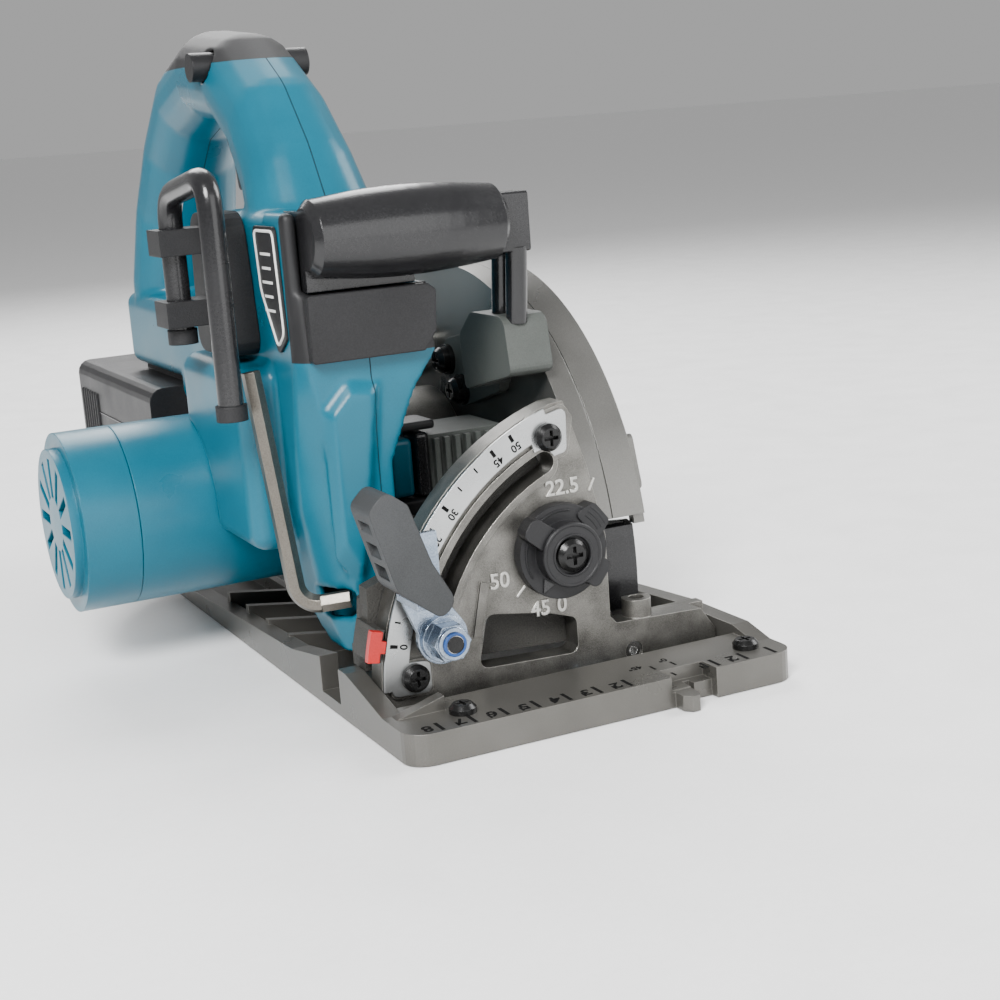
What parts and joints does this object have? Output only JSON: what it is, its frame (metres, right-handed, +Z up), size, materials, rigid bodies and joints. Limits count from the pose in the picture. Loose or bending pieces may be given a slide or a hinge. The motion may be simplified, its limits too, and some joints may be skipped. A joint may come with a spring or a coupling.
{
  "type": "cordless circular saw",
  "caption": "Handheld cordless circular saw with a cast base, bevel quadrant with scale and stop knob, swinging lower guard, side motor, loop handle and slide-on battery.",
  "frame": {"origin": "on the sole, on the cut line, at the front edge of the base", "axes": "+X towards the free side (motor on -X), -Y is the cutting direction, +Z up from the sole"},
  "size_m": [0.1856, 0.3224, 0.2693],
  "materials": {
    "cast_aluminium": "satin casting",
    "dark_casting": "rough dark casting",
    "bright_aluminium": "bright satin",
    "black_screw": "black oxide",
    "zinc_plated": "blue zinc plate",
    "steel": "bright",
    "guard_aluminium": "satin",
    "blade_steel": "ground",
    "wrench_steel": "dark bronze-grey",
    "black_plastic": "satin",
    "black_rubber": "matte",
    "teal_plastic": "satin",
    "dark_plastic": "matte",
    "red_plastic": "satin",
    "label": "printed film",
    "copper_winding": "varnished copper",
    "circuit_board": "lacquered",
    "lamp_lens": "clear over white"
  },
  "bodies": {
    "base": {"base_plate": "cast_aluminium", "bevel_quadrant": "cast_aluminium", "scale_plate": "bright_aluminium", "plate_screws": "black_screw", "fence_guide_pad": "zinc_plated", "rear_bracket": "dark_casting", "bevel_pins": "steel"},
    "stop_knob": {"stop_knob": "black_plastic", "stop_knob_screw": "black_screw"},
    "bevel_frame": {"bevel_bracket": "dark_casting", "bevel_pointer": "red_plastic", "clamp_bolt": "steel", "depth_guide": "steel", "depth_pivot_pin": "steel"},
    "bevel_lever": {"bevel_lever_arm": "zinc_plated", "bevel_lever_grip": "black_rubber", "clamp_nut": "zinc_plated"},
    "saw": {"blade_case": "cast_aluminium", "blade_cover": "cast_aluminium", "gear_case": "cast_aluminium", "motor_housing": "teal_plastic", "motor_end_cap": "teal_plastic", "body_shell_left": "teal_plastic", "body_shell_right": "teal_plastic", "rubber_overmould": "black_rubber", "front_grip": "black_plastic", "grip_rods": "black_screw", "dust_cover": "dark_plastic", "dust_cover_screws": "black_screw", "rating_label": "label", "stator": "copper_winding", "motor_bearings": "steel", "spindle_bearings": "steel", "switch_unit": "dark_plastic", "control_board": "circuit_board", "battery_terminals": "black_plastic", "body_screws": "steel", "air_baffle": "dark_plastic", "work_light": "lamp_lens", "depth_clamp_bolt": "steel", "guard_spring": "steel", "guard_ring": "steel"},
    "lower_guard": {"lower_guard": "guard_aluminium", "guard_lever": "black_plastic"},
    "spindle": {"spindle": "steel", "spindle_gear": "steel", "inner_flange": "steel", "saw_blade": "blade_steel", "outer_flange": "steel", "blade_bolt": "steel"},
    "rotor": {"rotor": "steel", "fan": "dark_plastic"},
    "trigger": {"trigger": "black_plastic"},
    "lock_off_button": {"lock_off_button": "black_plastic"},
    "shaft_lock_button": {"shaft_lock_button": "black_plastic"},
    "battery": {"battery": "black_plastic"},
    "battery_latch": {"battery_latch": "teal_plastic"},
    "depth_lever": {"depth_lever": "black_plastic"},
    "hook": {"hook": "steel"},
    "hex_wrench": {"hex_wrench": "wrench_steel"}
  },
  "joints": [
    {"name": "bevel", "type": "hinge", "parent": "base", "child": "bevel_frame", "pos_m": [0, 0.04, 0.0075], "axis": [0, 1, 0], "range_deg": [0, 50]},
    {"name": "depth", "type": "hinge", "parent": "bevel_frame", "child": "saw", "pos_m": [-0.028, 0.056, 0.034], "axis": [1, 0, 0], "range_deg": [0, 33]},
    {"name": "lower_guard", "type": "hinge", "parent": "saw", "child": "lower_guard", "pos_m": [0, 0.14, 0.0275], "axis": [1, 0, 0], "range_deg": [0, 125], "stiffness_Nm_per_rad": 0.12, "springref_deg": -68.75},
    {"name": "spindle_spin", "type": "hinge", "parent": "saw", "child": "spindle", "pos_m": [0, 0.14, 0.0275], "axis": [1, 0, 0], "continuous": true},
    {"name": "rotor_spin", "type": "hinge", "parent": "saw", "child": "rotor", "pos_m": [-0.08, 0.15291, 0.05178], "axis": [1, 0, 0], "continuous": true},
    {"name": "bevel_lever", "type": "hinge", "parent": "bevel_frame", "child": "bevel_lever", "pos_m": [-0.067, 0.03, 0.02671], "axis": [0, 1, 0], "range_deg": [-45, 0]},
    {"name": "stop_knob", "type": "hinge", "parent": "base", "child": "stop_knob", "pos_m": [-0.0245, 0.03, 0.0445], "axis": [0, -1, 0], "range_deg": [0, 150]},
    {"name": "trigger", "type": "hinge", "parent": "saw", "child": "trigger", "pos_m": [-0.069, 0.163, 0.184], "axis": [-1, 0, 0], "range_deg": [0, 9], "stiffness_Nm_per_rad": 0.3, "springref_deg": -5.73},
    {"name": "lock_off_button", "type": "slide", "parent": "saw", "child": "lock_off_button", "axis": [1, 0, 0], "range_m": [-0.003, 0.003], "stiffness_N_per_m": 400},
    {"name": "shaft_lock_button", "type": "slide", "parent": "saw", "child": "shaft_lock_button", "axis": [0, 1, 0], "range_m": [0, 0.0025], "stiffness_N_per_m": 500, "springref_m": -0.001},
    {"name": "battery", "type": "slide", "parent": "saw", "child": "battery", "axis": [0, 1, 0], "range_m": [0, 0.07]},
    {"name": "battery_latch", "type": "slide", "parent": "battery", "child": "battery_latch", "axis": [0, 0, -1], "range_m": [0, 0.003], "stiffness_N_per_m": 500, "springref_m": -0.001},
    {"name": "depth_lever", "type": "hinge", "parent": "saw", "child": "depth_lever", "pos_m": [-0.02, 0.24075, 0.04368], "axis": [1, 0, 0], "range_deg": [0, 40]},
    {"name": "hook", "type": "hinge", "parent": "saw", "child": "hook", "pos_m": [-0.11, 0.114, 0.13], "axis": [0, 0, -1], "range_deg": [0, 90]},
    {"name": "hex_wrench", "type": "slide", "parent": "saw", "child": "hex_wrench", "axis": [-0.8832, 0.4691, 0], "range_m": [0, 0.018]}
  ],
  "couplings": [
    {"joint": "rotor_spin", "follows": "spindle_spin", "ratio": -4}
  ]
}
